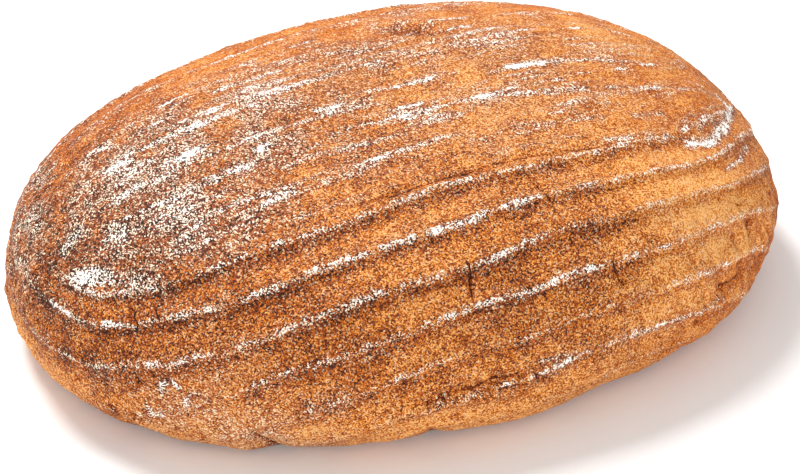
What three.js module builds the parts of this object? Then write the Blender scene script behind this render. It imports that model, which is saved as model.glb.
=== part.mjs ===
// A country loaf: a hand-shaped oval loaf of rye and wheat, proved in an oval cane basket
// and baked on a hearth. It is one baked piece, so the model is one closed mesh.
//
// The frame is in millimetres with +Z up. The loaf lies along X, its broader end towards +X,
// and the origin is in the middle of the flat foot that it stands on.
//
// The crust carries the print of the basket. Its cane left rings that run round the side,
// sharp crests with shallow scoops between them, from the edge of the nearly level crown
// down to the foot.
import * as THREE from "three";

// Overall form.
const LENGTH = 300; // along X
const WIDTH = 216; // along Y, at the middle of the length
const HEIGHT = 87;
const BELLY_HEIGHT = 28; // height at which the side stands furthest out
const FOOT_INSET = 20; // how far the heel curls in, from the belly to the edge of the foot
const END_TAPER = 0.09; // by how much of its width the loaf gains at the +X end and loses at the -X end

// Powers of the curves: 2 draws an ellipse, and more draws a squarer curve.
const OUTLINE_POWER = 2.15; // the outline seen from above
const CROWN_REACH_POWER = 2.73; // how far the crown stays level
const CROWN_FALL_POWER = 2.34; // how upright the side stands above the belly
const CROWN_EDGE_POWER = 3; // the outline of the crown's edge, which is the first ring

// The basket's print. Distances are measured along the crust.
const CROWN_EDGE_FROM_END = 3; // the first ring's half length is this much under half the loaf's length
const CROWN_EDGE_FROM_SIDE = 48; // the first ring's half width is this much under half the loaf's width
const RING_COUNT = 7; // rings from the crown's edge to the foot
const SCOOP_DEPTH = 1.2; // of the scoop between two crests
const RING_CROWDING_AT_ENDS = 0.7; // under 1 draws the rings together towards the foot, at the two ends

// Fineness of the mesh.
const AROUND = 96; // steps round the loaf
const CROWN_ROWS = 8; // rows from the middle of the crown to its edge
const ROWS_PER_RING = 4; // a crest, and the scoop below it
const MERIDIAN_STEPS = 400; // samples of the curve from the top to the foot

const HALF_LENGTH = LENGTH / 2;
const HALF_WIDTH = WIDTH / 2;

// Distance from the middle to a superellipse, in a direction seen from above.
function superellipseRadius(angle, halfLength, halfWidth, power) {
  const along = Math.abs(Math.cos(angle)) / halfLength;
  const across = Math.abs(Math.sin(angle)) / halfWidth;
  return (along ** power + across ** power) ** (-1 / power);
}

// The curve down the crust in one direction: the crown and side to the belly, then the heel
// to the edge of the foot. Each point is a radius and a height, and lengths holds the
// distance along the crust from the top.
function meridian(angle) {
  const belly = superellipseRadius(angle, HALF_LENGTH, HALF_WIDTH, OUTLINE_POWER);
  const points = [];
  for (let i = 0; i <= MERIDIAN_STEPS; i++) {
    const turn = (1 - i / MERIDIAN_STEPS) * (Math.PI / 2);
    points.push(
      new THREE.Vector2(
        belly * Math.cos(turn) ** (2 / CROWN_REACH_POWER),
        BELLY_HEIGHT + (HEIGHT - BELLY_HEIGHT) * Math.sin(turn) ** (2 / CROWN_FALL_POWER),
      ),
    );
  }
  for (let i = 1; i <= MERIDIAN_STEPS; i++) {
    const turn = (i / MERIDIAN_STEPS) * (Math.PI / 2);
    points.push(
      new THREE.Vector2(
        belly - FOOT_INSET * (1 - Math.cos(turn)),
        BELLY_HEIGHT * (1 - Math.sin(turn)),
      ),
    );
  }
  const lengths = [0];
  for (let i = 1; i < points.length; i++)
    lengths.push(lengths[i - 1] + points[i].distanceTo(points[i - 1]));
  return { points, lengths, total: lengths[lengths.length - 1] };
}

// The point at a distance along the curve, and the way out of the crust there.
function pointAlong({ points, lengths, total }, distance) {
  const target = Math.min(Math.max(distance, 0), total);
  let i = 1;
  while (i < lengths.length - 1 && lengths[i] < target) i++;
  const share = (target - lengths[i - 1]) / (lengths[i] - lengths[i - 1]);
  const place = points[i - 1].clone().lerp(points[i], share);
  const down = points[i].clone().sub(points[i - 1]).normalize();
  return { place, outward: new THREE.Vector2(-down.y, down.x) };
}

// Distance along the crust from the top to a ring, where ring 0 is the crown's edge and
// ring RING_COUNT is the edge of the foot. Between them the rings pass from one outline
// to the other.
function distanceToRing(ring, angle, total) {
  const crownEdge = superellipseRadius(
    angle,
    HALF_LENGTH - CROWN_EDGE_FROM_END,
    HALF_WIDTH - CROWN_EDGE_FROM_SIDE,
    CROWN_EDGE_POWER,
  );
  const crowding = THREE.MathUtils.lerp(RING_CROWDING_AT_ENDS, 1, Math.sin(angle) ** 2);
  return THREE.MathUtils.lerp(crownEdge, total, (ring / RING_COUNT) ** crowding);
}

// Depth of the scoop below a crest: none on a crest, and most half way to the next.
// The last scoop runs out at the foot.
function scoopDepth(ring) {
  const way = ring - Math.floor(ring);
  const fade = Math.min(1, (RING_COUNT - ring) / 2);
  return SCOOP_DEPTH * 4 * way * (1 - way) * fade;
}

// The crust's vertex on one row and in one direction. The rows run from the middle of the
// crown, over the rings, to the edge of the foot, and the last one is the middle of the foot.
const RING_ROWS = RING_COUNT * ROWS_PER_RING;
const ROWS = CROWN_ROWS + RING_ROWS + 1;

function crustVertex(row, angle, curve) {
  let radius;
  let height;
  if (row === ROWS) {
    radius = 0;
    height = 0;
  } else {
    const ring = Math.max(0, (row - CROWN_ROWS) / ROWS_PER_RING);
    const reach = distanceToRing(ring, angle, curve.total);
    const share = Math.min(1, row / CROWN_ROWS);
    const { place, outward } = pointAlong(curve, reach * share);
    place.addScaledVector(outward, -scoopDepth(ring));
    radius = place.x;
    height = row === ROWS - 1 ? 0 : place.y;
  }
  const x = radius * Math.cos(angle);
  const taper = 1 + (END_TAPER * x) / HALF_LENGTH;
  return new THREE.Vector3(x, radius * Math.sin(angle) * taper, height);
}

// A sphere's mesh already has the rows and the poles that the crust needs, so its
// vertices are moved onto the crust, row by row.
function crustGeometry() {
  const geometry = new THREE.SphereGeometry(1, AROUND, ROWS);
  const curves = [];
  for (let step = 0; step < AROUND; step++) curves.push(meridian((2 * Math.PI * step) / AROUND));
  const position = geometry.getAttribute("position");
  for (let row = 0; row <= ROWS; row++) {
    for (let column = 0; column <= AROUND; column++) {
      const step = column % AROUND;
      const vertex = crustVertex(row, (2 * Math.PI * step) / AROUND, curves[step]);
      position.setXYZ(row * (AROUND + 1) + column, vertex.x, vertex.y, vertex.z);
    }
  }
  geometry.computeVertexNormals();
  return geometry;
}

const crust = new THREE.MeshStandardMaterial({
  name: "crust",
  color: 0xa8642f,
  roughness: 0.85,
  metalness: 0,
});

const loaf = new THREE.Mesh(crustGeometry(), crust);
loaf.name = "loaf";

const part = new THREE.Group();
part.add(loaf);

export default part;
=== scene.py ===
"""A country loaf, laid out as a Blender add-on and run as a script.

The loaf is one baked piece. Its crust is one closed mesh, in the place of the frame's plain
solid: the same oval form, with the print of its proving basket, the lumps, creases and cracks
that it got in the oven, and the flour that it was dusted with. Lengths on the crust are in
millimetres, and the mesh is in metres, as the frame is.
"""

import math

import bmesh
import bpy
import numpy as np
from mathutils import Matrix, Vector, noise


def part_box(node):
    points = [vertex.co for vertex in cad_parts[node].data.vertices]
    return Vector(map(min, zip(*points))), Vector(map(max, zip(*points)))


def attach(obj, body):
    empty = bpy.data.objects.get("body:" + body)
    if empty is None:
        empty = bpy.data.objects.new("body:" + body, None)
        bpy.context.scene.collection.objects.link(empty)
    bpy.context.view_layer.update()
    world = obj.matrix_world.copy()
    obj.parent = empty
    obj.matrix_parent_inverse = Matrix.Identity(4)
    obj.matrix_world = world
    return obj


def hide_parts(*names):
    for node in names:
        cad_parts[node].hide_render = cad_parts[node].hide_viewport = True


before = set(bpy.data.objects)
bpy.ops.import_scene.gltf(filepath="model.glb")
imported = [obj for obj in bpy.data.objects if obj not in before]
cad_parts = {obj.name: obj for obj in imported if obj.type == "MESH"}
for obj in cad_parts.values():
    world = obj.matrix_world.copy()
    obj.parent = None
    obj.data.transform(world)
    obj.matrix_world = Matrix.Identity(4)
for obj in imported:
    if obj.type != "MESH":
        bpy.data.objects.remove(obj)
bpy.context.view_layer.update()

bl_info = {
    "name": "Country loaf",
    "version": (1, 0, 0),
    "blender": (4, 5, 0),
    "location": "View3D > Sidebar > Loaf",
    "description": "Builds a floured country loaf with the print of its proving basket",
    "category": "Add Mesh",
}

NODE = "loaf"
MM = 0.001
FOOT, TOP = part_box(NODE)
LENGTH = TOP[0] - FOOT[0]
HEIGHT = TOP[2] - FOOT[2]


def linear(code):
    """An sRGB hex code as a linear colour."""
    channels = [int(code[i : i + 2], 16) / 255 for i in (1, 3, 5)]
    return [c / 12.92 if c <= 0.04045 else ((c + 0.055) / 1.055) ** 2.4 for c in channels]


def length(name, description, default):
    """A size property, given in millimetres and kept in metres."""
    return bpy.props.FloatProperty(
        name=name, description=description, default=default * MM, unit="LENGTH", precision=4
    )


def colour(name, description, code):
    """A colour property, given as an sRGB hex code."""
    return bpy.props.FloatVectorProperty(
        name=name,
        description=description,
        default=linear(code),
        subtype="COLOR",
        size=3,
        min=0,
        max=1,
    )


class LoafForm(bpy.types.PropertyGroup):
    """Sizes of the loaf's form."""

    length: length("Length", "Along the loaf", LENGTH / MM)
    width: length("Width", "Across the middle of the loaf", 216)
    height: length("Height", "From the foot to the crown", HEIGHT / MM)
    belly: length("Belly height", "Where the side stands furthest out", 27.7)
    foot_inset: length("Foot inset", "How far the heel curls in to the foot", 20)
    end_taper: bpy.props.FloatProperty(
        name="End taper",
        description="Share of width gained at one end and lost at the other",
        default=0.09,
    )


class BasketPrint(bpy.types.PropertyGroup):
    """The print that the coiled cane of the basket left on the crust."""

    pitch: length("Pitch", "From one ring to the next down the side", 15.1)
    depth: length("Depth", "Of the scoop between two rings", 1.5)
    crown_depth: length(
        "Crown depth", "Of the scoops on the crown, which the oven spring flattened", 0.45
    )
    turn: bpy.props.FloatProperty(
        name="Turn",
        description="How far the basket sat askew",
        default=math.radians(3),
        subtype="ANGLE",
    )


class CrustFinish(bpy.types.PropertyGroup):
    """Colours of the crust, from its palest to its darkest, and of the flour on it."""

    straw: colour("Straw", "Palest grains", "#f0b56e")
    amber: colour("Amber", "Lightly baked crust", "#d77f29")
    russet: colour("Russet", "Well baked crust", "#ad5217")
    chestnut: colour("Chestnut", "Dark baked crust", "#76340f")
    # Painted shade in cracks and slits darkens them towards this colour.
    char: colour("Char", "Grains and cracks that nearly burnt", "#2c1006")
    bloom: colour("Bloom", "Flour that baked into the crust", "#8f5b4b")
    cream: colour("Cream", "Thin flour, toasted by the oven", "#f2d9b4")
    flour: colour("Flour", "Loose flour", "#fffaf0")
    grain: length("Grain", "Width of the meal's grains", 0.48)


class Studio(bpy.types.PropertyGroup):
    """The floor and the camera."""

    floor: colour("Floor", "Plain pale floor", "#fbfbfb")
    azimuth: bpy.props.FloatProperty(
        name="Azimuth",
        description="Of the camera, round the loaf",
        default=math.radians(-24.84),
        subtype="ANGLE",
    )
    elevation: bpy.props.FloatProperty(
        name="Elevation",
        description="Of the camera, above the floor",
        default=math.radians(33.28),
        subtype="ANGLE",
    )
    lens: bpy.props.FloatProperty(
        name="Lens",
        description="Focal length on a 36 mm wide sensor, in millimetres",
        default=106.6,
    )


# ---------------------------------------------------------------- form

OUTLINE_POWER = 2.15  # 2 draws an ellipse, and more a squarer oval
CROWN_REACH_POWER = 2.73  # how far the crown stays level
CROWN_FALL_POWER = 2.34  # how upright the side stands
EDGE_POWER = 3.0  # of the crown's edge
EDGE_FROM_END = 3.0  # mm; the crown's edge, measured along the crust, is shorter than the loaf
EDGE_FROM_SIDE = 48.0  # mm, and narrower
BELLIES = 48  # meridians worked out, from the narrowest to the longest
SHARES = 900  # points down each of them

# A hand-shaped loaf's outline strays a little from a true oval: how many lobes, how much
# and where the first lobe points, in degrees.
UNEVENNESS = ((3, 0.0062, 0), (4, 0.0079, 183), (5, 0.0040, 244))


def superellipse(angle, half_length, half_width, power):
    """Distance from the middle of a superellipse to its edge."""
    along = np.abs(np.cos(angle)) / half_length
    across = np.abs(np.sin(angle)) / half_width
    return (along**power + across**power) ** (-1 / power)


class Crust:
    """The loaf's bare form. Points on it are given by a bearing, and by a distance along the
    crust from the middle of the crown."""

    def __init__(self, form):
        self.half_length = form.length / MM / 2
        self.half_width = form.width / MM / 2
        self.end_taper = form.end_taper
        height, belly_height = form.height / MM, form.belly / MM
        inset = form.foot_inset / MM
        turn = np.linspace(math.pi / 2, 0, SHARES)
        reach = np.cos(turn) ** (2 / CROWN_REACH_POWER)
        rise = belly_height + (height - belly_height) * np.sin(turn) ** (2 / CROWN_FALL_POWER)
        heel = np.linspace(0, math.pi / 2, SHARES)[1:]
        self.bellies = np.linspace(0.95 * self.half_width, 1.05 * self.half_length, BELLIES)
        self.radii = np.empty((BELLIES, SHARES))
        self.heights = np.empty((BELLIES, SHARES))
        self.totals = np.empty(BELLIES)
        for i, belly in enumerate(self.bellies):
            radius = np.concatenate([belly * reach, belly - inset * (1 - np.cos(heel))])
            level = np.concatenate([rise, belly_height * (1 - np.sin(heel))])
            steps = np.hypot(np.diff(radius), np.diff(level))
            travelled = np.concatenate([[0], np.cumsum(steps)])
            even = np.linspace(0, travelled[-1], SHARES)
            self.radii[i] = np.interp(even, travelled, radius)
            self.heights[i] = np.interp(even, travelled, level)
            self.totals[i] = travelled[-1]

    def belly_radius(self, bearing):
        """How far the side stands out from the middle."""
        radius = superellipse(bearing, self.half_length, self.half_width, OUTLINE_POWER)
        for lobes, share, first in UNEVENNESS:
            radius = radius * (1 + share * np.cos(lobes * bearing - math.radians(first)))
        return radius

    def distance_to_foot(self, bearing):
        """The whole way down, from the middle of the crown to the foot's edge."""
        return np.interp(self.belly_radius(bearing), self.bellies, self.totals)

    def distance_to_edge(self, bearing):
        """The way from the middle of the crown to its edge, where the side begins."""
        return superellipse(
            bearing, self.half_length - EDGE_FROM_END, self.half_width - EDGE_FROM_SIDE, EDGE_POWER
        )

    def points(self, bearing, distance):
        """Positions, in millimetres."""
        belly = self.belly_radius(bearing)
        total = np.interp(belly, self.bellies, self.totals)
        row = np.interp(belly, self.bellies, np.arange(BELLIES))
        column = np.clip(distance / total, 0, 1) * (SHARES - 1)
        i = np.minimum(row.astype(int), BELLIES - 2)
        j = np.minimum(column.astype(int), SHARES - 2)
        p, q = row - i, column - j
        place = []
        for table in (self.radii, self.heights):
            near = table[i, j] * (1 - q) + table[i, j + 1] * q
            far = table[i + 1, j] * (1 - q) + table[i + 1, j + 1] * q
            place.append(near * (1 - p) + far * p)
        radius, height = place
        x = radius * np.cos(bearing)
        y = radius * np.sin(bearing) * (1 + self.end_taper * x / self.half_length)
        return np.stack([x, y, height], axis=-1)


# ---------------------------------------------------------------- mesh

COLUMNS = 720  # vertices in each row round the side
CROWN_ACROSS = 104  # steps of the crown's grid across the loaf, and the rest of half a row along it
SIDE_ROWS = 92  # from the crown's edge to the foot
FOOT_ROWS = 16  # from the foot's edge to its middle


def even_bearings(crust, distance_at):
    """Bearings of COLUMNS points spread evenly along a closed row, from +X round to +X again."""
    fine = np.linspace(0, 2 * math.pi, COLUMNS * 6 + 1)
    row = crust.points(fine, distance_at(fine))
    travelled = np.concatenate([[0], np.cumsum(np.linalg.norm(np.diff(row, axis=0), axis=1))])
    return np.interp(np.linspace(0, travelled[-1], COLUMNS + 1), travelled, fine)


def crown_grid(crust, first_row):
    """Bearings and distances of the crown's grid, and its faces. The grid is a rectangle whose
    border is the first row of the side, drawn in towards the middle."""
    across, along = CROWN_ACROSS, COLUMNS // 2 - CROWN_ACROSS
    x, y = np.meshgrid(np.linspace(-1, 1, along + 1), np.linspace(-1, 1, across + 1), indexing="ij")
    out = np.maximum(np.maximum(np.abs(x), np.abs(y)), 1e-9)
    x, y = x / out, y / out
    column = np.select(
        [x >= 1, y >= 1, x <= -1],
        [
            y * across / 2,
            across / 2 + (1 - x) * along / 2,
            across / 2 + along + (1 - y) * across / 2,
        ],
        across * 1.5 + along + (x + 1) * along / 2,
    )
    column = column % COLUMNS
    bearing = np.interp(column, np.arange(COLUMNS + 1), first_row)
    distance = out * crust.distance_to_edge(bearing)
    border = out > 1 - 1e-6
    inner = np.cumsum(~border.ravel()).reshape(border.shape) - 1
    index = np.where(border, np.rint(column).astype(int) % COLUMNS, COLUMNS + inner)
    faces = np.stack([index[:-1, :-1], index[1:, :-1], index[1:, 1:], index[:-1, 1:]], axis=-1)
    return bearing[~border], distance[~border], faces.reshape(-1, 4)


def band(upper, lower):
    """Faces between two closed rows of vertices, the lower with as many as the upper, or half."""
    count, ratio = len(upper), len(upper) // len(lower)
    if ratio == 1:
        return np.stack([upper, lower, np.roll(lower, -1), np.roll(upper, -1)], axis=-1).tolist()
    faces = []
    for k, below in enumerate(lower):
        a, b, c = upper[2 * k], upper[2 * k + 1], upper[(2 * k + 2) % count]
        after = lower[(k + 1) % len(lower)]
        faces += [[a, below, b], [b, below, after], [b, after, c]]
    return faces


def loaf_mesh(crust):
    """The bare form as a mesh, and each vertex's bearing, its distance along the crust and its
    share of the way in over the foot, which is 0 on the crust."""
    bearings, distances, faces = [], [], []
    rows = []
    for row in range(SIDE_ROWS + 1):
        share = row / SIDE_ROWS

        def distance_at(bearing, share=share):
            edge = crust.distance_to_edge(bearing)
            return edge + (crust.distance_to_foot(bearing) - edge) * share

        ring = even_bearings(crust, distance_at)
        if row == 0:
            first_row = ring
        bearings.append(ring[:-1])
        distances.append(distance_at(ring[:-1]))
        rows.append(np.arange(COLUMNS) + row * COLUMNS)
        if row:
            faces += band(rows[row - 1], rows[row])
    start = COLUMNS * (SIDE_ROWS + 1)
    bearing, distance, grid = crown_grid(crust, first_row)
    grid = np.where(grid >= COLUMNS, grid - COLUMNS + start, grid)
    faces += grid.tolist()
    bearings.append(bearing)
    distances.append(distance)
    bearings, distances = np.concatenate(bearings), np.concatenate(distances)
    points = crust.points(bearings, distances)
    foot_edge = points[rows[-1]]
    inward = [np.zeros(len(points))]
    upper, edge = rows[-1], foot_edge
    for row in range(1, FOOT_ROWS):
        share = (row / FOOT_ROWS) ** 1.5
        if row in (2, 4, 6):
            edge = edge[::2]
        lower = np.arange(len(edge)) + len(points)
        points = np.concatenate([points, edge * [1 - share, 1 - share, 0]])
        inward.append(np.full(len(edge), share))
        faces += band(upper, lower)
        upper = lower
    middle = len(points)
    points = np.concatenate([points, [[0, 0, 0]]])
    inward.append([1.0])
    faces += [[a, middle, b] for a, b in zip(upper, np.roll(upper, -1))]
    under = len(points) - len(bearings)
    bearings = np.concatenate([bearings, np.zeros(under)])
    distances = np.concatenate([distances, np.zeros(under)])
    mesh = bpy.data.meshes.new("crust")
    mesh.from_pydata((points * MM).tolist(), [], faces)
    return mesh, points, bearings, distances, np.concatenate(inward)


# ---------------------------------------------------------------- basket print

# The print is a family of nested ovals on the unrolled crust. Level 0 is the crown's edge,
# levels go up by one from ring to ring down the side, and level -3 is the middle of the crown.
# Each ring's half length is EDGE_LONG + RING_LONGER * level + RING_LONGEST * level squared.
EDGE_LONG = 146.0
EDGE_WIDE = 61.4
RING_LONGER = 5.5
RING_LONGEST = 3.7
CROWN_SHORTER = 9.0  # a level, inwards from the crown's edge
CROWN_LEVELS = 3
RING_POWER = 2.77
RING_POWER_FALL = 0.16  # a level, so the lower rings are nearer to true ovals
LOWEST_LEVEL = 9.0
HALVINGS = 17  # enough to find a level to a ten-thousandth

NOISE_GAIN = 1.6  # brings the noise to about -1 to 1
SEED_STEPS = (17.3, 5.1, 11.9)  # how far one seed's noise is from the next one's
OCTAVE_STEP = 9.7


def ring_level(u, v, pitch, turn):
    """The level of a place on the unrolled crust, found by halving."""
    along = np.abs(math.cos(turn) * u + math.sin(turn) * v)
    across = np.abs(math.cos(turn) * v - math.sin(turn) * u)
    low = np.full(u.shape, -float(CROWN_LEVELS) + 1e-3)
    high = np.full(u.shape, LOWEST_LEVEL)
    for _ in range(HALVINGS):
        level = (low + high) / 2
        side, crown = np.maximum(level, 0), np.minimum(level, 0)
        long = EDGE_LONG + RING_LONGER * side + RING_LONGEST * side**2 + CROWN_SHORTER * crown
        wide = EDGE_WIDE * (1 + crown / CROWN_LEVELS) + pitch * side
        power = RING_POWER - RING_POWER_FALL * side
        outside = (along / long) ** power + (across / wide) ** power > 1
        low = np.where(outside, level, low)
        high = np.where(outside, high, level)
    return (low + high) / 2


def smooth(x, start, end):
    """0 before start, 1 after end, and a smooth rise between."""
    t = np.clip((x - start) / (end - start), 0, 1)
    return t * t * (3 - 2 * t)


def bump(x, middle, width):
    """A smooth hump, which is 1 at its middle."""
    return np.exp(-(((x - middle) / width) ** 2))


def speckle(points, size, seed, octaves=1):
    """Even noise from about -1 to 1, with lumps of the given size in millimetres. Each use has
    a seed of its own, so that no two are alike."""
    total, strength = np.zeros(len(points)), 1.0
    x, y, z = (seed * step for step in SEED_STEPS)
    for octave in range(octaves):
        shift = Vector((x, y + octave * OCTAVE_STEP, z))
        scaled = (points / size * 2**octave).tolist()
        total += strength * np.array([noise.noise(Vector(p) + shift) for p in scaled])
        strength /= 2
    return total * NOISE_GAIN


def distance_to_line(u, v, line):
    """Distance from each place to an open line of points, below 0 on its right, and how far along
    it, from 0 to 1."""
    best = np.full(u.shape, np.inf)
    along = np.zeros(u.shape)
    pieces = len(line) - 1
    for i, ((u0, v0), (u1, v1)) in enumerate(zip(line[:-1], line[1:])):
        du, dv = u1 - u0, v1 - v0
        t = np.clip(((u - u0) * du + (v - v0) * dv) / (du * du + dv * dv), 0, 1)
        gap = np.hypot(u - u0 - t * du, v - v0 - t * dv)
        gap *= np.where(du * (v - v0) > dv * (u - u0), 1, -1)
        nearer = np.abs(gap) < np.abs(best)
        along = np.where(nearer, (i + t) / pieces, along)
        best = np.where(nearer, gap, best)
    return best, along


# Places on the unrolled crust are (along, across) from the middle of the crown, in millimetres.

# Thin tears across the rings: line, width, depth.
TEARS = (
    (((-129, -50), (-128, -54), (-131, -60)), 1.5, 1.6),
    (((-120, -58), (-121, -63)), 1.1, 1.0),
    (((24, -68), (26, -73), (27, -78)), 1.2, 1.3),
    (((-14, -91), (-12, -94), (-14, -100), (-16, -106)), 1.2, 1.3),
    (((42, -103), (45, -108), (48, -114)), 1.2, 1.2),
    (((-142, -66), (-144, -73)), 1.2, 1.2),
    (((-62, 84), (-60, 92)), 1.3, 1.3),
    (((58, 96), (61, 106)), 1.2, 1.4),
    (((-8, 118), (-6, 126)), 1.4, 1.4),
    (((150, 22), (157, 24)), 1.2, 1.2),
    (((-152, 38), (-160, 42)), 1.3, 1.2),
)

# Long cracks that run with the rings, whose lower lip curls out: line, width, depth, lip.
SEAMS = (
    (
        ((-54, -57), (-34, -57.5), (-18, -58), (0, -57), (33, -57), (63, -58), (86, -56)),
        1.5,
        1.0,
        0.3,
    ),
    (
        ((-54, -132), (-46, -134), (-34, -134), (-23, -136.5), (-11, -135.5), (6, -137)),
        1.8,
        2.4,
        1.6,
    ),
    (((-21, -140), (-10, -139), (2, -141)), 1.5, 2.0, 1.0),
    (((104, -116), (116, -111), (128, -103)), 1.5, 1.3, 0.6),
    (((-30, 128), (-12, 131), (6, 129), (20, 132)), 1.8, 2.0, 0.9),
    (((-120, 84), (-104, 92), (-92, 96)), 1.5, 1.4, 0.5),
)

# Creases where the dough folded as it was turned out, rising from the foot: bearing, height,
# width, depth.
CREASES = (
    (-158, 20, 5.5, 2.6),
    (-136, 22, 5.0, 4.2),
    (-107, 18, 5.5, 2.6),
    (-52, 16, 7.0, 1.6),
    (-20, 20, 6.0, 2.0),
    (33, 22, 5.0, 3.2),
    (84, 20, 6.0, 3.8),
    (118, 16, 5.5, 2.4),
    (163, 20, 6.0, 3.0),
)

# Where the side bulges or is flat: bearing, spread in degrees, height, spread of height, amount.
BULGES = (
    (154, 12, 54, 22, 1.8),
    (124, 20, 68, 18, -1.5),
    (110, 18, 26, 24, 1.6),
    (60, 20, 24, 24, -1.2),
    (-7, 12, 50, 18, -1.6),
    (-64, 14, 8, 18, -2.0),
    (-100, 16, 14, 22, 1.8),
    (-141, 12, 14, 22, -2.2),
    (-168, 13, 8, 18, -1.6),
)

# Burst bubbles: along, across, radius, depth. One that didn't burst is a blister, which has its
# depth below 0.
PITS = (
    (21, 45, 4.0, 2.4),
    (27, 41, 5.0, 3.2),
    (33, 36, 4.0, 2.6),
    (-43, -3, 3.2, 1.6),
    (-45, -13, 1.4, 1.0),
    (-41, -15, 1.3, 1.0),
    (-168, -66, 2.0, 3.2),
    (-162, -75, 2.2, 2.6),
    (110, -96, 3.2, 1.8),
    (122, -90, 2.6, 1.6),
    (117, -104, 2.0, 1.4),
    (-92, -113, 2.4, 1.5),
    (-44, -135, 1.6, 2.2),
    (-37, -136, 2.0, 2.8),
    (-30, -140, 4.0, -0.9),
    (-17, -133, 1.8, -1.4),
    (-15, -140, 2.0, -1.0),
    (7, -139, 1.4, 1.5),
    (11, -141, 1.2, 1.3),
    (-17, -126, 1.2, 1.3),
    (-116, -33, 1.6, 1.2),
    (120, -88, 2.0, 1.4),
    (-84, -108, 1.5, 1.2),
    (96, -128, 1.8, 1.4),
    (-60, 118, 2.2, 1.8),
    (44, 132, 2.0, 1.6),
    (164, 48, 1.8, 1.6),
)
SMALL_PITS = 70  # more, by chance, on the side

# Flour on the rings, by level: from and to along the loaf, and how much there is. The first
# group is for the side towards -Y, and the second for the other.
RING_FLOUR = {
    -2: (((-130, -60, 0.65), (-60, 130, 0.6)), ((-130, 20, 0.65), (20, 130, 0.5))),
    -1: (((-130, -50, 0.6), (-50, 130, 0.55)), ((-130, -10, 0.7), (-10, 130, 0.6))),
    0: (((-150, -106, 0.5), (-106, 30, 0.42), (30, 92, 0.5), (92, 150, 0.6)), ((-150, 150, 0.5),)),
    1: (
        ((-175, -100, 0.52), (-100, -70, 0.56), (-70, 26, 0.68), (26, 150, 0.4)),
        ((-175, 150, 0.6),),
    ),
    2: (
        ((-180, -104, 0.5), (-104, -40, 0.48), (-40, 20, 0.52), (20, 150, 0.38)),
        ((-180, 150, 0.6),),
    ),
    3: (
        ((-180, -112, 0.25), (-112, -40, 0.42), (-40, 40, 0.62), (40, 150, 0.42)),
        ((-180, 180, 0.55),),
    ),
    4: (
        ((-180, -100, 0.15), (-100, -20, 0.35), (-20, 60, 0.25), (60, 150, 0.5)),
        ((-180, 180, 0.4),),
    ),
    5: (((-70, -50, 0.25), (-50, 0, 0.4), (0, 90, 0.6), (90, 140, 0.3)), ((-120, 150, 0.35),)),
    6: (((-60, 40, 0.12), (40, 120, 0.25)), ((-60, 100, 0.25),)),
}

# Lines of flour off the rings: line, width, how much.
FLOUR_LINES = (
    (((95, -59), (106, -58), (120, -47), (135, -31), (134, -22)), 2.4, 0.75),
    (((98, -49), (103, -52), (109, -48), (105, -44), (98, -48)), 0.8, 0.42),
    (((113, -46), (117, -47), (121, -43), (117, -41), (113, -45)), 0.7, 0.36),
    (((109, -70), (120, -63), (129, -54)), 1.1, 0.6),
    (((60, -55), (70, -56), (80, -57)), 1.0, 0.45),
    (((46, -3), (58, -4), (72, -4)), 1.5, 0.7),
    (((72, -4), (88, -6), (104, -9)), 1.0, 0.4),
    (((-6, -20), (4, -19)), 1.7, 0.7),
    (((-26, -19), (10, -19), (36, -20), (50, -24), (68, -25)), 1.2, 0.55),
    (((78, -25), (96, -27), (130, -24)), 1.1, 0.36),
    (((-3, -14), (5, -15)), 1.0, 0.55),
    (((-2, -27), (20, -26)), 1.2, 0.48),
    (((38, -42), (66, -43)), 1.2, 0.4),
    (((78, -44), (91, -44)), 1.1, 0.42),
    (((56, -17), (62, -18)), 1.1, 0.5),
    (((-26, -40), (-20, -39)), 1.3, 0.55),
    (((-79, -23), (-64, -23)), 2.0, 0.4),
    (((-104, 11), (-70, 11), (-56, 14), (-33, 16), (-5, 20), (28, 18)), 1.1, 0.36),
    (((-11, 36), (-2, 34)), 1.0, 0.5),
    (((-20, 50), (-9, 51)), 1.0, 0.45),
    (((-50, 45), (-37, 47)), 1.0, 0.45),
    (((-112, 27), (-103, 23)), 1.5, 0.45),
    (((-9, 1), (18, -1)), 1.0, 0.7),
    (((-32, -3), (-22, -4)), 1.0, 0.7),
    (((-60, 29), (-46, 31), (-31, 32)), 1.0, 0.55),
    (((40, 34), (49, 35)), 1.0, 0.7),
    (((40, 19), (52, 17)), 1.0, 0.55),
    (((-94, 10), (-82, 11), (-70, 11)), 1.6, 0.5),
    (((-110, 8), (-101, 8)), 1.6, 0.5),
    (((-84, -6), (-79, -5)), 2.4, 0.6),
    (((-60, -16), (-56, -15)), 1.8, 0.6),
    (((-112, -9), (-104, -7)), 2.4, 0.38),
    (((-138, -13), (-128, -11)), 2.6, 0.45),
    (((-140, -79), (-137, -77), (-132, -79), (-132, -82)), 0.9, 0.6),
    (((-135, -87), (-130, -87), (-127, -89), (-127, -92)), 0.9, 0.5),
    (((-150, -77), (-153, -81), (-151, -84), (-148, -83)), 1.0, 0.45),
    (((81, -127), (94, -123), (110, -117)), 1.2, 0.35),
    (((48, -133), (58, -132), (70, -130)), 1.1, 0.4),
    (((8, -134), (17, -134), (26, -134)), 1.1, 0.35),
)

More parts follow.
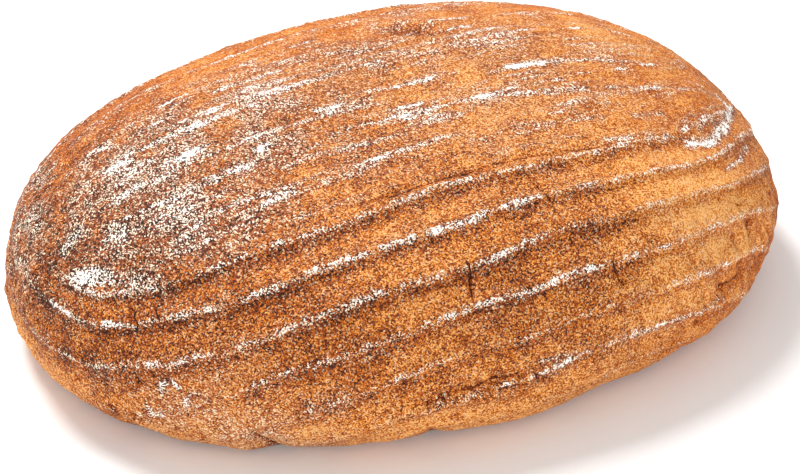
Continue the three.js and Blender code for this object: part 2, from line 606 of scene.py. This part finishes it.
# Patches of loose flour: along, across, half sizes, turn in degrees, how much.
FLOUR_PATCHES = (
    (-134, -32, 13, 4, -46, 0.5),
    (-120, -46, 12, 4, -40, 0.2),
    (-118, -22, 6, 4, 0, 0.2),
    (-98, -43, 9, 6, -10, 0.15),
    (-92, -38, 46, 18, -14, 0.18),
    (-110, -6, 34, 28, 0, 0.17),
    (-70, 4, 60, 34, 0, 0.12),
    (-10, 0, 130, 60, 0, 0.15),
    (112, -50, 12, 6, 40, 0.08),
    (-146, 34, 20, 50, -18, 0.24),
    (-120, -112, 50, 26, -30, 0.11),
    (60, 70, 40, 14, 10, 0.15),
    (-80, 84, 36, 12, -12, 0.08),
)

# How deep the scoops between the rings are, by level, as a share of the print's depth.
SCOOP_LEVELS = (-0.01, 0, 1, 3, 5, 6.5, 8)
SCOOP_SHARES = (0, 1.25, 1.0, 0.9, 0.6, 0.3, 0)
SCOOP_PEAK = 0.385  # of the scoop's curve, which is brought to 1
CREST_WIDTH = 1.3  # mm
CREST_HEIGHT = 0.22  # mm
PROUD = 0.5  # mm; the crust stands out a little from the bare form, to make up for its scoops

STREAK_WIDTH = 3.2  # mm, of the faint streaks that run along the rings
STREAK_SQUEEZE = 0.08  # of the way along, so that a streak is 12 times as long as it is wide
CRUMB_WIDTH = 3.4  # mm, of the coarse crumbs at the end towards -X
STRETCH_FADE = 8  # mm, at each end of a stretch of flour
STREWN_SHARE = 0.30  # of a ring's flour that strays from its crest
STREWN_REACH = 3.0  # mm
THINNEST_FLOUR = 0.08  # all over the crust

PIT_SEED = 12
FOLD_DEPTH = 1.5  # mm
NO_SLIT = 50.0  # mm, where no slit is near


class Surface:
    """What each vertex of the crust carries: how far it stands out from the bare form, in
    millimetres, how much flour it has and how much shade is painted on it, from 0 to 1, and how
    far the nearest ring and the nearest slit are. The material draws those two finer than the mesh
    could."""

    def __init__(self, crust, basket, points, bearings, distances):
        self.points = points
        x, y, self.z = points.T
        radius = np.hypot(x, y)
        self.bearing = np.arctan2(y, x)
        bare = np.hypot(x, y / (1 + crust.end_taper * x / crust.half_length))
        distance = distances * radius / np.maximum(bare, 1e-6)
        self.radius = radius
        self.u = distance * np.cos(self.bearing)
        self.v = distance * np.sin(self.bearing)
        self.basket = basket
        self.relief = np.zeros(len(points))
        self.flour = np.zeros(len(points))
        self.shade = np.zeros(len(points))
        self.lined = np.zeros(len(points))
        self.slit = np.full(len(points), NO_SLIT)
        self.torn = np.zeros(len(points))
        self.read_rings()

    def read_rings(self):
        """The level of each vertex, and its distance in millimetres from the nearest ring."""
        pitch, turn = self.basket.pitch / MM, self.basket.turn
        sway = 1.6 * speckle(self.points, 34, 1) + 0.5 * speckle(self.points, 9, 2)
        # The outer two rings run together at the crown's edge towards +X.
        pinch = 8.0 * bump(self.u, 88, 36) * bump(self.v, -62, 16) * (self.v < 0)
        u, v = self.u, self.v
        out = 1 + (sway - pinch) / np.maximum(np.hypot(u, v), 20)
        level = ring_level(u * out, v * out, pitch, turn)
        step = 0.5  # mm, over which the level's slope is taken
        rise_u = ring_level((u + step) * out, v * out, pitch, turn) - level
        rise_v = ring_level(u * out, (v + step) * out, pitch, turn) - level
        slope = np.maximum(np.hypot(rise_u, rise_v) / step, 1e-3)
        nearest = np.rint(level)
        self.level = level
        self.ring = nearest
        self.off_ring = (level - nearest) / slope
        self.ring_gap = 1 / slope
        self.lumpy_end = smooth(-self.u, 108, 132) * (1 - smooth(np.abs(self.v - 4), 14, 30))
        side, crown = np.maximum(level, 0), np.minimum(level, 0)
        across = np.sign(v) * (EDGE_WIDE * (1 + crown / CROWN_LEVELS) + pitch * side)
        along_rings = np.stack([u * STREAK_SQUEEZE, across, np.zeros(len(u))], axis=-1)
        self.streaks = smooth(speckle(along_rings, STREAK_WIDTH, 33), 0, 0.8)
        self.streaks *= 0.4 + 0.6 * smooth(u, -125, -60)
        self.crumbs = speckle(self.points, CRUMB_WIDTH, 31)
        self.crumbs = self.crumbs * smooth(-u, 84, 130) * smooth(v, -40, -10)

    def press_rings(self):
        """Sharp crests with scoops between, which drop steeply below one crest and rise slowly
        to the next, and painted shade on the steep face under each crest."""
        way = self.level - np.floor(self.level)
        scoop = way**0.5 * (1 - way) / SCOOP_PEAK
        shallow = (4 * way * (1 - way)) ** 0.7
        depth = self.basket.depth / MM * (0.85 + 0.35 * speckle(self.points, 40, 3))
        depth = depth * np.interp(self.level, SCOOP_LEVELS, SCOOP_SHARES)
        depth = depth * (1 - 0.6 * self.lumpy_end) * (1 - 0.5 * smooth(self.u, 110, 150))
        depth = depth * (0.6 + 0.4 * smooth(self.u, -165, -90))
        depth = depth * smooth(self.ring_gap, 2, 7)
        crown = self.basket.crown_depth / MM * (1 + 0.5 * speckle(self.points, 30, 4))
        crown = crown * smooth(self.ring_gap, 4, 12)
        self.relief -= np.where(self.level > 0, scoop * depth, shallow * crown)
        # Painted shade: the colour is darkened on the steep face just under each crest, where shade
        # falls.
        under = bump(way, 0.17, 0.16) * (self.level > 0) * np.clip(depth, 0, 2)
        self.shade += 0.30 * under
        crest = bump(self.off_ring, 0, CREST_WIDTH) * (self.level > -0.5) * np.clip(depth, 0, 2)
        self.relief += CREST_HEIGHT * crest

    def dust(self):
        """Loose flour, which the basket left on the crests in dashes, and patches of it between."""
        knots = speckle(self.points, 6, 5) + 0.6 * speckle(self.points, 2.8, 6)
        drawn_out = np.stack([self.u * 0.3, self.v, self.ring * 9], axis=-1)
        dashes = speckle(drawn_out, 4, 28)
        on_crown = self.level < -0.5
        for level, sides in RING_FLOUR.items():
            for side, stretches in zip((-1, 1), sides):
                amount = np.zeros(len(self.u))
                for start, end, much in stretches:
                    begun = smooth(self.u, start - STRETCH_FADE, start + STRETCH_FADE)
                    ended = smooth(self.u, end - STRETCH_FADE, end + STRETCH_FADE)
                    amount = np.maximum(amount, much * (begun * (1 - ended)))
                here = (self.ring == level) & (np.sign(self.v + 1e-9) == side)
                broken = np.where(on_crown, np.clip(0.1 + 1.7 * dashes, 0, 1.4), 1 + 0.3 * dashes)
                fill = amount * np.clip(0.85 + 0.5 * knots, 0.25, 1.2) * broken
                strewn = STREWN_SHARE * fill * np.exp(-np.abs(self.off_ring) / STREWN_REACH)
                self.lined = np.where(here, fill, self.lined)
                self.flour = np.where(here, np.maximum(self.flour, strewn), self.flour)
        # The end towards -X is lumpy, so the rings hardly show on it.
        self.lined *= 1 - 0.85 * self.lumpy_end
        for line, width, much in FLOUR_LINES:
            gap, _ = distance_to_line(self.u, self.v + 0.5 * knots, line)
            strewn = bump(gap, 0, width) * np.clip(0.9 + 0.45 * knots, 0.2, 1.2)
            self.flour = np.maximum(self.flour, much * strewn)
        loose = speckle(self.points, 14, 7, 3)
        for u, v, along, across, turn, much in FLOUR_PATCHES:
            c, s = math.cos(math.radians(turn)), math.sin(math.radians(turn))
            du, dv = self.u - u, self.v - v
            gap = np.hypot((c * du + s * dv) / along, (c * dv - s * du) / across)
            patch = much * (1 - smooth(gap, 0.45, 1.25)) * (0.85 + 0.3 * loose + 0.5 * self.streaks)
            room = 1 - 0.6 * np.clip(self.flour, 0, 1)
            self.flour = self.flour + np.maximum(patch, 0) * room
        crown = 1 - smooth(self.level, -0.3, 0.2)
        self.flour += 0.22 * self.streaks * crown * np.clip(0.8 + 0.5 * knots, 0, 1.3)
        self.flour += THINNEST_FLOUR + 0.05 * loose
        self.flour += 0.08 * smooth(-self.u, 84, 120) * smooth(-self.v, 60, 84)

    def tear(self):
        """Cracks, seams, creases and pits, with shade painted into each of them."""
        wander = 0.6 * speckle(self.points, 4, 8)
        for line, width, depth in TEARS:
            gap, along = distance_to_line(self.u + wander, self.v - wander, line)
            ends = np.sin(math.pi * along)
            open_ = bump(gap, 0, width) * np.clip(2 * ends, 0, 1)
            self.relief -= depth * open_
            # Painted shade in the tear.
            self.shade += 0.2 * open_
            self.flour *= 1 - 0.8 * open_
            self.cut(gap, np.clip(2.5 * ends, 0, 1))
        for line, width, depth, lip in SEAMS:
            gap, along = distance_to_line(self.u + wander, self.v + wander, line)
            ends = np.clip(6 * along * (1 - along), 0, 1)
            centre = np.interp(self.u, [p[0] for p in line], [p[1] for p in line])
            below = np.abs(self.v) - np.abs(centre)
            patchy = np.clip(0.75 + 0.7 * speckle(self.points, 9, 9), 0.1, 1.3) * ends
            open_ = bump(gap, 0, width) * patchy
            self.relief -= depth * open_
            self.relief += lip * ends * bump(below, 3.2, 3.0) * (np.abs(gap) < 9)
            # Painted shade in the seam.
            self.shade += 0.3 * open_
            self.flour *= 1 - 0.5 * open_
            self.cut(gap, np.clip(0.65 * patchy, 0, 1))
        for bearing, rise, width, depth in CREASES:
            turned = self.bearing - math.radians(bearing)
            aside = (turned + math.pi) % (2 * math.pi) - math.pi
            lean = 0.35 * self.z + 2.0 * speckle(self.points, 16, 10)
            gap = aside * self.radius + lean - 2
            high = 1 - smooth(self.z, 0.15 * rise, rise)
            notch = np.exp(-np.abs(gap) / width * 1.6)
            self.relief -= depth * notch * high
            self.relief += 0.3 * depth * bump(gap, -1.7 * width, width) * high
            # Painted shade in the crease.
            self.shade += 0.2 * depth * np.exp(-np.abs(gap) / width * 3) * high
            self.cut(gap, high * min(depth / 4, 1))
        random = np.random.default_rng(PIT_SEED)
        picks = random.choice(np.flatnonzero((self.z < 60) & (self.z > 3)), SMALL_PITS)
        radii = random.uniform(0.8, 1.5, SMALL_PITS)
        small = [(self.u[i], self.v[i], radius, radius * 0.8) for i, radius in zip(picks, radii)]
        for u, v, radius, depth in PITS + tuple(small):
            gap = np.hypot(self.u - u, self.v - v) + wander
            self.relief -= depth * bump(gap, 0, radius)
            self.relief += 0.2 * depth * bump(gap, radius * 1.9, radius * 0.6)
            # Painted shade in the pit; a blister, whose depth is below 0, is painted paler.
            self.shade += 0.8 * min(depth / radius, 0.8) * bump(gap, 0, radius * 0.8)
            if depth > radius:
                self.cut(np.maximum(gap - 0.5 * radius, 0), 1)

    def cut(self, gap, amount):
        """Notes a slit, where it is the nearest so far."""
        nearer = np.abs(gap) < np.abs(self.slit)
        self.slit = np.where(nearer, gap, self.slit)
        self.torn = np.where(nearer, amount, self.torn)

    def swell(self):
        """Lumps and wrinkles that the dough took as it proved and baked, with shade painted into
        the wrinkles.
        """
        self.relief += 0.9 * speckle(self.points, 70, 13)
        self.relief += 0.45 * speckle(self.points, 22, 14)
        self.relief += 0.20 * speckle(self.points, 7, 15, 2)
        self.relief += 0.10 * speckle(self.points, 2.6, 16)
        self.relief += 0.45 * self.lumpy_end * speckle(self.points, 5, 29, 2)
        self.relief += 0.4 * self.crumbs
        self.relief += 0.3 * self.streaks
        self.relief += PROUD
        for bearing, spread, height, reach, amount in BULGES:
            turned = np.degrees(self.bearing) - bearing
            aside = (turned + 180) % 360 - 180
            self.relief += amount * bump(aside, 0, spread) * bump(self.z, height, reach)
        low = 1 - smooth(self.z, 14, 46)
        upright = np.stack([self.points[:, 0], self.points[:, 1], self.z * 0.25], axis=-1)
        wrinkled = np.clip(0.35 + 0.8 * speckle(self.points, 60, 17), 0, 1)
        near = np.clip(bump(self.bearing, math.radians(-45), 0.36) + 0.5 * wrinkled, 0, 1)
        folds = 1 - smooth(np.abs(speckle(upright, 9, 18)), 0, 0.3)
        folds *= near * bump(self.z, 32, 20)
        self.relief -= FOLD_DEPTH * folds
        # Painted shade in the wrinkles' folds.
        self.shade += 0.3 * folds
        self.relief += 1.5 * speckle(self.points, 30, 19) * low


def finish_marks(surface):
    """Browning from 0, pale, to 1, dark. It follows the oven's heat and the thickness of the
    crust, and the heel, which lay on the hearth and out of the print, is paler."""
    p, u, v, z = surface.points, surface.u, surface.v, surface.z
    brown = 0.44 + 0.08 * speckle(p, 46, 20) + 0.06 * speckle(p, 13, 21)
    brown += 0.05 * speckle(p, 4.5, 22)
    drawn_out = np.stack([u * 0.25, v, surface.ring * 7], axis=-1)
    crown = smooth(surface.level, -0.5, 0.5)
    brown += 0.08 * speckle(drawn_out, 3, 32) * (1 - 0.6 * crown)
    brown -= 0.16 * surface.crumbs
    brown += 0.12 * (0.35 - surface.streaks) * (1 - 0.5 * crown)
    # The end towards -X stood deeper in the oven, and is darker all over.
    brown += 0.05 * smooth(-u, 0, 110) * smooth(-v, 20, 60) * smooth(z, 20, 50)
    brown += 0.13 * smooth(-u, 20, 120) * smooth(z, 14, 56)
    brown += 0.04 * bump(u, -100, 50) * bump(v, -16, 34)
    brown += 0.12 * smooth(-u, 126, 150) * (0.5 + speckle(p, 8, 30))
    # The other end and the flat of the crown are lighter.
    brown -= 0.10 * smooth(u, 10, 100)
    brown -= 0.09 * smooth(z, 62, 80)
    # A dark flank in the middle of the near side, and lighter ones round it.
    brown += 0.08 * bump(u, 10, 60) * bump(v, -100, 26)
    brown += 0.06 * smooth(u, 128, 150)
    brown -= 0.06 * bump(u, -110, 40) * bump(v, 40, 34)
    flank = smooth(u, 30, 90) - 0.6 * smooth(u, 100, 135)
    brown -= 0.20 * flank * smooth(-v, 50, 80) * smooth(z, 20, 40)
    brown += 0.06 * smooth(u, 40, 90) * (1 - smooth(z, 16, 44))
    brown -= 0.16 * smooth(-u, 60, 120) * smooth(-v, 60, 90)
    # The heel is pale, down to the scorched edge that lay on the hearth.
    brown -= 0.19 * (1 - smooth(z, 4, 34)) * (1 - 0.4 * smooth(u, 30, 90))
    brown += 0.35 * (1 - smooth(z, 0.5, 5))
    return brown


# ---------------------------------------------------------------- material


MATH = "ShaderNodeMath"
MAP_RANGE = "ShaderNodeMapRange"
MIX = "ShaderNodeMix"


def node(tree, kind, inputs=None, stops=None, **settings):
    """Adds a node. settings are its own properties, inputs gives a value or another node's
    socket for each of its sockets, and stops are a colour ramp's places and colours."""
    made = tree.nodes.new(kind)
    for name, value in settings.items():
        setattr(made, name, value)
    for name, value in (inputs or {}).items():
        if isinstance(value, bpy.types.NodeSocket):
            tree.links.new(value, made.inputs[name])
        else:
            made.inputs[name].default_value = value
    if stops:
        ramp = made.color_ramp
        while len(ramp.elements) < len(stops):
            ramp.elements.new(1)
        for element, (place, paint) in zip(ramp.elements, stops):
            element.position = place
            element.color = (*paint, 1)
    return made


def crust_material(finish):
    """Baked rye crust, dusted with flour. Baking dries the dough's skin and browns it by the
    Maillard reaction, coarse meal stands out of it as pale and dark grains, and the steam of
    the oven leaves hardly any gloss: the eye sees a sandy, matt brown that changes from amber
    to chestnut over a few centimetres. Loose flour lies on it as a dry white powder."""
    material = bpy.data.materials.new("baked rye crust, floured")
    material.use_nodes = True
    tree = material.node_tree
    tree.nodes.clear()
    place = node(tree, "ShaderNodeTexCoord").outputs["Object"]
    carried = {}
    for name in ("brown", "flour", "shade", "coarse", "level", "spacing", "lined", "slit", "torn"):
        carried[name] = node(tree, "ShaderNodeAttribute", attribute_name=name).outputs["Fac"]
    size = finish.grain

    # Meal grains are 0.3 to 1 mm wide. They are drawn at the coarse end of that, because finer
    # ones don't show. Every grain has three chance numbers of its own: how brown it is, whether
    # flour lies on it and how far it stands up.
    meal = node(tree, "ShaderNodeTexVoronoi", {"Vector": place, "Scale": 1 / size})
    chance = node(tree, "ShaderNodeSeparateColor", {"Color": meal.outputs["Color"]}).outputs
    mottle = {}
    # Mottling: name, width in grains, detail, seed.
    for name, width, detail, seed in (
        ("fine", 1.0, 2, 1),
        ("spots", 4, 2, 4),
        ("blotches", 15, 3, 9),
    ):
        scale = 1 / (width * size)
        mottle[name] = node(
            tree,
            "ShaderNodeTexNoise",
            {"Vector": place, "W": seed, "Scale": scale, "Detail": detail, "Roughness": 0.6},
            noise_dimensions="4D",
        ).outputs[0]

    # A slit's edges and a ring's crest are as ragged as the grains, so both gaps, which are in
    # millimetres, are stirred by the mottling.
    level, spacing = carried["level"], carried["spacing"]
    nearest = node(tree, MATH, {0: level}, operation="ROUND").outputs[0]
    off_ring = node(tree, MATH, {0: level, 1: nearest}, operation="SUBTRACT").outputs[0]
    from_ring = node(tree, MATH, {0: off_ring, 1: spacing}, operation="MULTIPLY").outputs[0]
    near = {}
    for name, gap, stir, inner, outer in (
        ("ring", from_ring, 4.2, 0.1, 1.9),
        ("slit", carried["slit"], 1.2, 0.1, 0.5),
    ):
        for source in (mottle["fine"], mottle["spots"]):
            gap = node(
                tree, MATH, {0: source, 1: stir, 2: gap}, operation="MULTIPLY_ADD"
            ).outputs[0]
        centred = node(tree, MATH, {0: gap, 1: stir}, operation="SUBTRACT").outputs[0]
        away = node(tree, MATH, {0: centred}, operation="ABSOLUTE").outputs[0]
        near[name] = node(
            tree,
            MAP_RANGE,
            {"Value": away, "From Min": inner, "From Max": outer, "To Min": 1.0, "To Max": 0.0},
            interpolation_type="SMOOTHSTEP",
        ).outputs[0]
    # The slit mask paints shade into the cracks, and keeps flour out of them.
    slit = node(
        tree, MATH, {0: near["slit"], 1: carried["torn"]}, operation="MULTIPLY"
    ).outputs[0]

    # Painted shade: among loose flour, the grains that it missed are darkened, as shade between the
    # clumps.
    near_flour = node(
        tree,
        MAP_RANGE,
        {"Value": carried["flour"], "From Min": 0.08, "From Max": 0.45},
    ).outputs[0]
    between = node(
        tree, MATH, {0: near_flour, 1: chance["Green"]}, operation="MULTIPLY"
    ).outputs[0]
    grainy = 0.0
    for source, gain, middle in (
        (chance["Red"], -0.8, 0.5),
        (mottle["fine"], -1.5, 0.5),
        (mottle["spots"], -0.4, 0.5),
        (between, 0.5, 0.12),
    ):
        scaled = node(
            tree, MATH, {0: source, 1: gain, 2: grainy}, operation="MULTIPLY_ADD"
        ).outputs[0]
        grainy = node(tree, MATH, {0: scaled, 1: gain * middle}, operation="SUBTRACT").outputs[0]
    # The tone takes in painted shade: the shade carried on the vertices, under the crests and in
    # cracks, creases, pits and folds, and the shade in the slits.
    tone = carried["brown"]
    for source, gain, middle in (
        (grainy, carried["coarse"], 0),
        (mottle["blotches"], -0.3, 0.5),
        (carried["shade"], 0.5, 0),
        (slit, 0.5, 0),
    ):
        tone = node(
            tree, MATH, {0: source, 1: gain, 2: tone}, operation="MULTIPLY_ADD"
        ).outputs[0]
        if middle:
            tone = node(tree, MATH, {0: tone, 1: gain * middle}, operation="SUBTRACT").outputs[0]
    crust = node(
        tree,
        "ShaderNodeValToRGB",
        {"Fac": tone},
        stops=(
            (0.0, finish.straw),
            (0.24, finish.amber),
            (0.46, finish.russet),
            (0.70, finish.chestnut),
            (0.95, finish.char),
        ),
    ).outputs[0]

    # Flour that wetted and baked in leaves a dull bloom round the loose flour, on all but the
    # darkest grains.
    unburnt = node(
        tree,
        MAP_RANGE,
        {"Value": tone, "From Min": 0.55, "From Max": 0.85, "To Min": 1.0, "To Max": 0.0},
    ).outputs[0]
    bloomed = node(tree, MATH, {0: near_flour, 1: unburnt}, operation="MULTIPLY").outputs[0]
    bloomed = node(
        tree, MATH, {0: bloomed, 1: mottle["blotches"]}, operation="MULTIPLY"
    ).outputs[0]
    tinted = node(
        tree, MIX, {0: bloomed, 6: crust, 7: (*finish.bloom, 1)}, data_type="RGBA"
    ).outputs[2]

    # Loose flour is finer than 0.2 mm. It is drawn on whole grains, which stand for the small
    # clumps that it gathers in, and it is thinner where they are fewer.
    clumped = node(
        tree,
        MAP_RANGE,
        {
            "Value": mottle["spots"],
            "From Min": 0.3,
            "From Max": 0.7,
            "To Min": 0.55,
            "To Max": 1.35,
        },
    ).outputs[0]
    spread = node(tree, MATH, {0: carried["flour"], 1: 1.5}, operation="POWER").outputs[0]
    line = node(tree, MATH, {0: near["ring"], 1: carried["lined"]}, operation="MULTIPLY").outputs[0]
    most = node(tree, MATH, {0: spread, 1: line}, operation="MAXIMUM").outputs[0]
    powdered = node(tree, MATH, {0: most, 1: clumped}, operation="MULTIPLY").outputs[0]
    cover = node(tree, MATH, {0: powdered, 1: slit}, operation="SUBTRACT").outputs[0]
    bared = node(tree, MATH, {0: cover, 1: chance["Green"]}, operation="SUBTRACT").outputs[0]
    lying = node(
        tree,
        MAP_RANGE,
        {"Value": bared, "From Min": -0.1, "From Max": 0.12},
    ).outputs[0]
    thick = node(
        tree,
        MAP_RANGE,
        {"Value": cover, "From Min": 0.1, "From Max": 0.55},
    ).outputs[0]
    powder = node(
        tree, MIX, {0: thick, 6: (*finish.cream, 1), 7: (*finish.flour, 1)}, data_type="RGBA"
    ).outputs[2]
    dusted = node(tree, MIX, {0: lying, 6: tinted, 7: powder}, data_type="RGBA").outputs[2]

    # Dry crust and flour are rough. The darkest grains, where sugar set hard, are smoother.
    rough = node(
        tree,
        MAP_RANGE,
        {"Value": tone, "From Min": 0.2, "From Max": 0.9, "To Min": 0.82, "To Max": 0.62},
    ).outputs[0]
    rough = node(tree, MATH, {0: rough, 1: lying}, operation="MAXIMUM").outputs[0]
    # Each grain stands up by its own amount, and flour lies on top of them.
    pitted = node(
        tree, MATH, {0: mottle["fine"], 1: 1.5, 2: chance["Blue"]}, operation="MULTIPLY_ADD"
    ).outputs[0]
    heights = node(
        tree, MATH, {0: lying, 1: 0.5, 2: pitted}, operation="MULTIPLY_ADD"
    ).outputs[0]
    bumps = node(
        tree, "ShaderNodeBump", {"Height": heights, "Distance": 0.3 * MM, "Strength": 0.7}
    ).outputs[0]
    surface = node(
        tree,
        "ShaderNodeBsdfPrincipled",
        {
            "Base Color": dusted,
            "Roughness": rough,
            "Normal": bumps,
            "IOR": 1.45,
            "Specular IOR Level": 0.22,
        },
    )
    node(tree, "ShaderNodeOutputMaterial", {"Surface": surface.outputs[0]})
    return material


# ---------------------------------------------------------------- pieces

HOLLOW_DEPTH = 1.2  # mm, in the sole
WIDEST_SPACING = 30  # mm; the crown's middle has no next ring to measure to
SLIT_REACH = 9  # mm; a slit's distance isn't needed beyond it

def build_loaf(scene):
    """The loaf: the bare form, pushed out and in by what the dough and the basket did to it."""
    crust = Crust(scene.loaf_form)
    mesh, points, bearings, distances, inward = loaf_mesh(crust)
    on_crust = inward == 0
    surface = Surface(crust, scene.basket_print, points, bearings, distances)
    surface.press_rings()
    surface.dust()
    surface.tear()
    surface.swell()
    brown = finish_marks(surface)

    faces_out(mesh)
    normals = np.empty(len(points) * 3)
    mesh.vertex_normals.foreach_get("vector", normals)
    normals = normals.reshape(-1, 3)
    foot_edge = smooth(surface.z, 0, 6)
    flat = normals.copy()
    flat[:, 2] *= foot_edge
    placed = points + flat * (surface.relief * on_crust)[:, None]
    placed[:, 2] = np.maximum(placed[:, 2], 0)

    # The foot follows its edge, and the hearth left it flat with shallow hollows.
    sole = ~on_crust
    placed[sole] = sole_points(points, placed, inward, sole)
    hollows = smooth(speckle(points, 34, 24, 2), 0.1, 0.9) * smooth(inward, 0.03, 0.2)
    placed[sole, 2] = HOLLOW_DEPTH * hollows[sole]

    mesh.vertices.foreach_set("co", (placed * MM).ravel())
    mesh.update()
    mesh.shade_smooth()
    sole_brown = 0.52 + 0.12 * speckle(points, 30, 26) + 0.08 * speckle(points, 7, 27)
    sole_flour = (0.36 + 0.2 * speckle(points, 20, 25, 3)) * smooth(inward, 0, 0.12)
    carried = {
        "flour": np.where(sole, sole_flour, surface.flour),
        "shade": np.where(sole, -0.2 * hollows, surface.shade),
        "brown": np.where(sole, sole_brown, brown),
        "coarse": 1 - 0.4 * smooth(surface.u, 40, 120) - 0.4 * smooth(surface.v, 10, 60),
        "level": np.where(sole, 0.5, surface.level),
        "spacing": np.minimum(surface.ring_gap, WIDEST_SPACING),
        "lined": surface.lined * on_crust,
        "slit": np.clip(surface.slit, -SLIT_REACH, SLIT_REACH),
        "torn": surface.torn * on_crust,
    }
    for name, values in carried.items():
        layer = mesh.attributes.new(name, "FLOAT", "POINT")
        layer.data.foreach_set("value", values.astype(np.float32))
    mesh.materials.append(crust_material(scene.crust_finish))
    loaf = bpy.data.objects.new("crust", mesh)
    scene.collection.objects.link(loaf)
    return loaf


def faces_out(mesh):
    """Turns every face of a closed mesh outwards."""
    shell = bmesh.new()
    shell.from_mesh(mesh)
    bmesh.ops.recalc_face_normals(shell, faces=shell.faces)
    shell.to_mesh(mesh)
    shell.free()


def sole_points(points, placed, inward, sole):
    """The foot's vertices, moved in or out by as much as its edge was."""
    edge = slice(COLUMNS * SIDE_ROWS, COLUMNS * (SIDE_ROWS + 1))
    bearing = np.arctan2(points[edge, 1], points[edge, 0])
    growth = np.hypot(*placed[edge, :2].T) / np.hypot(*points[edge, :2].T)
    order = np.argsort(bearing)
    own = np.arctan2(points[sole, 1], points[sole, 0])
    scale = np.interp(own, bearing[order], growth[order], period=2 * math.pi)
    return points[sole] * scale[:, None]


class LOAF_OT_crust(bpy.types.Operator):
    """Build the loaf"""

    bl_idname = "loaf.crust"
    bl_label = "Loaf"

    def execute(self, context):
        loaf = build_loaf(context.scene)
        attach(loaf, "root")
        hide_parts(NODE)
        return {"FINISHED"}


# ---------------------------------------------------------------- stage

FLOOR_HALF = 20.0  # m, so that its edge is far off in a low view
SKY_STRENGTH = 0.66
AIM_SHARE = 0.4  # of the loaf's height
CAMERA_LENGTHS = 3  # from the loaf, in lengths of it
SENSOR_WIDTH = 36  # mm
LENS_SHIFT = (0.0103, -0.0386)

LIGHTS = (
    # name, azimuth and elevation seen from the loaf, distance, size, watts
    ("key", 198, 60, 1.5, 0.6, 24),
    ("fill", -24, 14, 1.8, 1.4, 15.5),
)


def direction(azimuth, elevation):
    """The way from the loaf to something at that azimuth, counted from -Y towards +X, and
    elevation, in radians."""
    return Vector(
        (
            math.sin(azimuth) * math.cos(elevation),
            -math.cos(azimuth) * math.cos(elevation),
            math.sin(elevation),
        )
    )


def stage_material(name, paint):
    """Painted board, rolled matt, which gives an even pale ground."""
    material = bpy.data.materials.new(name)
    material.use_nodes = True
    board = material.node_tree.nodes["Principled BSDF"]
    board.inputs["Base Color"].default_value = (*paint, 1)
    board.inputs["Roughness"].default_value = 0.9
    return material


def build_stage(scene):
    """A plain pale floor, soft light and the camera."""
    studio = scene.loaf_studio
    mesh = bpy.data.meshes.new("floor")
    corners = [(x * FLOOR_HALF, y * FLOOR_HALF, 0) for x, y in ((-1, -1), (1, -1), (1, 1), (-1, 1))]
    mesh.from_pydata(corners, [], [(0, 1, 2, 3)])
    mesh.materials.append(stage_material("matt painted board", studio.floor))
    floor = bpy.data.objects.new("floor", mesh)
    scene.collection.objects.link(floor)

    aim = Vector((0, 0, HEIGHT * AIM_SHARE))
    for name, azimuth, elevation, far, size, watts in LIGHTS:
        lamp = bpy.data.lights.new(name, "AREA")
        lamp.shape = "DISK"
        lamp.size = size
        lamp.energy = watts
        light = bpy.data.objects.new(name, lamp)
        way = direction(math.radians(azimuth), math.radians(elevation))
        light.location = aim + way * far
        light.rotation_euler = way.to_track_quat("Z", "Y").to_euler()
        scene.collection.objects.link(light)

    world = bpy.data.worlds.new("studio")
    world.use_nodes = True
    sky = world.node_tree.nodes["Background"]
    sky.inputs["Color"].default_value = (1, 1, 1, 1)
    sky.inputs["Strength"].default_value = SKY_STRENGTH
    scene.world = world
    scene.view_settings.view_transform = "Standard"

    lens = bpy.data.cameras.new("camera")
    lens.lens = studio.lens
    lens.sensor_width = SENSOR_WIDTH
    lens.shift_x, lens.shift_y = LENS_SHIFT
    camera = bpy.data.objects.new("camera", lens)
    way = direction(studio.azimuth, studio.elevation)
    camera.location = aim + way * LENGTH * CAMERA_LENGTHS
    camera.rotation_euler = way.to_track_quat("Z", "Y").to_euler()
    scene.collection.objects.link(camera)
    scene.camera = camera


class LOAF_OT_stage(bpy.types.Operator):
    """Build the floor, the lights and the camera"""

    bl_idname = "loaf.stage"
    bl_label = "Stage"

    def execute(self, context):
        build_stage(context.scene)
        return {"FINISHED"}


# ---------------------------------------------------------------- add-on


class LOAF_PT_panel(bpy.types.Panel):
    """The loaf's sizes, colours and builders"""

    bl_idname = "LOAF_PT_panel"
    bl_label = "Country loaf"
    bl_space_type = "VIEW_3D"
    bl_region_type = "UI"
    bl_category = "Loaf"

    def draw(self, context):
        layout = self.layout
        for group in SETTINGS:
            box = layout.box()
            settings = getattr(context.scene, group)
            for name in settings.bl_rna.properties.keys():
                if name not in ("rna_type", "name"):
                    box.prop(settings, name)
        for operator in OPERATORS:
            layout.operator(operator.bl_idname)


SETTINGS = {
    "loaf_form": LoafForm,
    "basket_print": BasketPrint,
    "crust_finish": CrustFinish,
    "loaf_studio": Studio,
}
OPERATORS = (LOAF_OT_crust, LOAF_OT_stage)


def register():
    """Adds the classes, and the settings to each scene."""
    for made in (*SETTINGS.values(), *OPERATORS, LOAF_PT_panel):
        bpy.utils.register_class(made)
    for name, group in SETTINGS.items():
        setattr(bpy.types.Scene, name, bpy.props.PointerProperty(type=group))


def unregister():
    """Takes them away again."""
    for name in SETTINGS:
        delattr(bpy.types.Scene, name)
    for made in (LOAF_PT_panel, *reversed(OPERATORS), *SETTINGS.values()):
        bpy.utils.unregister_class(made)


def main():
    """Builds the loaf and its stage."""
    register()
    bpy.ops.loaf.crust()
    bpy.ops.loaf.stage()


if __name__ == "__main__":
    main()
